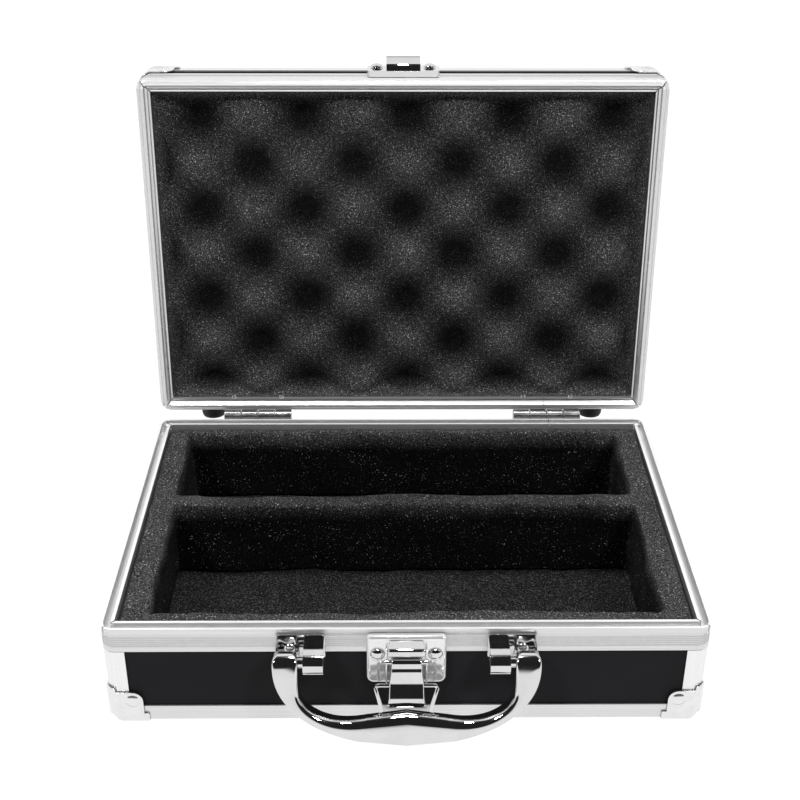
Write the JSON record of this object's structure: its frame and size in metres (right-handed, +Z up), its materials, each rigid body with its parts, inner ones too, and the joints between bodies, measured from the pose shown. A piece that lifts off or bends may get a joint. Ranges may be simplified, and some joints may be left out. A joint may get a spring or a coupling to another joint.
{
  "type": "aluminium tool case",
  "caption": "Small hinged carrying case of black panels in aluminium frames, with ball corners, a folding handle, a draw latch and foam inserts.",
  "frame": {"origin": "on the surface the case stands on, under the middle of the open case's bounding box, which is 11.8 mm behind the middle of the base", "axes": "+Z up, -Y towards the front face with the handle and latch, +Y towards the hinges and rear feet, +X along the case's width"},
  "size_m": [0.2634, 0.2494, 0.2382],
  "materials": {
    "black_panel": "fine textured laminate",
    "satin_aluminium": "satin anodised extrusion",
    "corner_steel": "satin plated",
    "hinge_steel": "plated",
    "chrome_plate": "bright chrome",
    "dark_foam": "open cell foam",
    "black_rubber": "matt"
  },
  "bodies": {
    "base": {"base_bottom_panel": "black_panel", "base_front_panel": "black_panel", "base_rear_panel": "black_panel", "base_left_panel": "black_panel", "base_right_panel": "black_panel", "base_rim_frame": "satin_aluminium", "base_bottom_frame": "satin_aluminium", "base_corner_post_front_left": "satin_aluminium", "base_corner_post_front_right": "satin_aluminium", "base_corner_post_rear_left": "satin_aluminium", "base_corner_post_rear_right": "satin_aluminium", "base_ball_corner_front_left": "corner_steel", "base_ball_corner_front_right": "corner_steel", "base_ball_corner_rear_left": "corner_steel", "base_ball_corner_rear_right": "corner_steel", "base_foam_floor": "dark_foam", "base_foam_insert": "dark_foam", "base_foot_left": "black_rubber", "base_foot_right": "black_rubber", "hinge_base_leaf_left": "hinge_steel", "hinge_base_leaf_right": "hinge_steel", "hinge_pin_left": "hinge_steel", "hinge_pin_right": "hinge_steel", "handle_bracket_left": "chrome_plate", "handle_bracket_right": "chrome_plate", "handle_pin_left": "chrome_plate", "handle_pin_right": "chrome_plate", "latch_plate": "chrome_plate", "latch_pin": "chrome_plate", "latch_rivet_left": "chrome_plate", "latch_rivet_right": "chrome_plate"},
    "lid": {"lid_top_panel": "black_panel", "lid_front_panel": "black_panel", "lid_rear_panel": "black_panel", "lid_left_panel": "black_panel", "lid_right_panel": "black_panel", "lid_rim_frame": "satin_aluminium", "lid_top_frame": "satin_aluminium", "lid_corner_post_front_left": "satin_aluminium", "lid_corner_post_front_right": "satin_aluminium", "lid_corner_post_rear_left": "satin_aluminium", "lid_corner_post_rear_right": "satin_aluminium", "lid_ball_corner_front_left": "corner_steel", "lid_ball_corner_front_right": "corner_steel", "lid_ball_corner_rear_left": "corner_steel", "lid_ball_corner_rear_right": "corner_steel", "lid_foam": "dark_foam", "lid_foot_left": "black_rubber", "lid_foot_right": "black_rubber", "hinge_lid_leaf_left": "hinge_steel", "hinge_lid_leaf_right": "hinge_steel", "keeper": "chrome_plate", "keeper_rivet_left": "chrome_plate", "keeper_rivet_right": "chrome_plate"},
    "handle": {"handle": "chrome_plate"},
    "latch_lever": {"latch_lever": "chrome_plate"},
    "latch_bail": {"latch_bail": "chrome_plate"}
  },
  "joints": [
    {"name": "lid_hinge", "type": "hinge", "parent": "base", "child": "lid", "pos_m": [0, 0.08016, 0.05085], "axis": [1, 0, 0], "range_deg": [0, 95]},
    {"name": "handle_swing", "type": "hinge", "parent": "base", "child": "handle", "pos_m": [0, -0.10844, 0.0395], "axis": [-1, 0, 0], "range_deg": [0, 95]},
    {"name": "latch_lever_swing", "type": "hinge", "parent": "base", "child": "latch_lever", "pos_m": [0, -0.10734, 0.0386], "axis": [-1, 0, 0], "range_deg": [0, 90]},
    {"name": "latch_bail_swing", "type": "hinge", "parent": "latch_lever", "child": "latch_bail", "pos_m": [0, -0.11034, 0.0285], "axis": [-1, 0, 0], "range_deg": [-98, 0]}
  ],
  "couplings": [
    {"joint": "latch_bail_swing", "follows": "latch_lever_swing", "ratio": -1.08}
  ]
}
